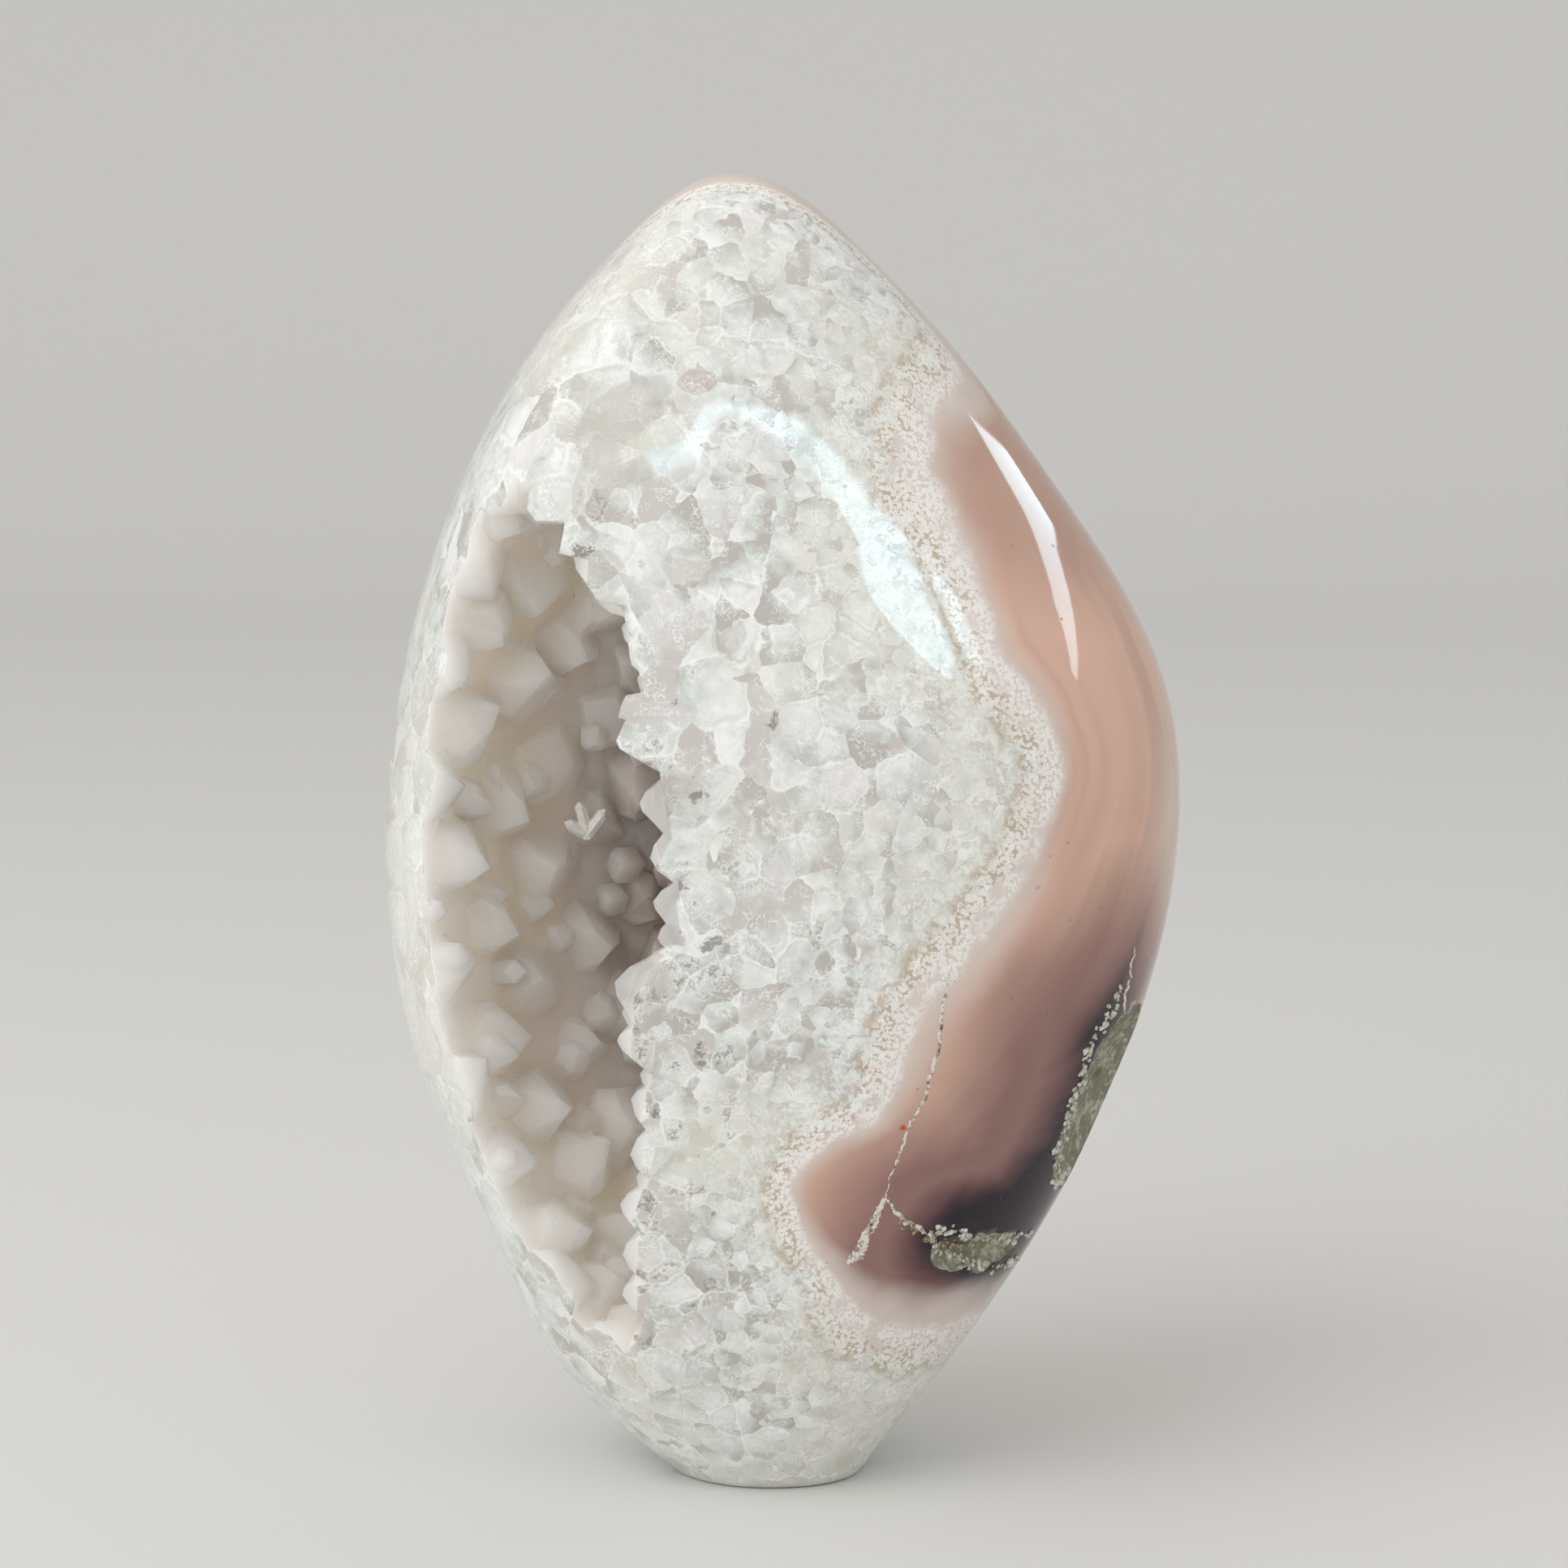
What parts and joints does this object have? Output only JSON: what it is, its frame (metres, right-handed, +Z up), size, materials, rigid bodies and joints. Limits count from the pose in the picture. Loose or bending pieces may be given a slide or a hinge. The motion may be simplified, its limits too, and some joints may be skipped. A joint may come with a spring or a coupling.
{
  "type": "druzy agate",
  "caption": "Free-standing polished agate, flat underneath, with a deep hollow lined with pointed quartz crystals and two patches of rough rind.",
  "frame": {"origin": "middle of the flat base", "axes": "+Z up the stone to its blunt tip, -Y the front that the picture shows, +X to its right; the hollow opens to the front left"},
  "size_m": [0.0737, 0.056, 0.12],
  "materials": {
    "polished_agate": "polished quartz and agate",
    "quartz_crystal": "natural crystal faces"
  },
  "bodies": {
    "root": {"agate_stone": "polished_agate", "crystal_crust": "quartz_crystal"}
  },
  "joints": []
}
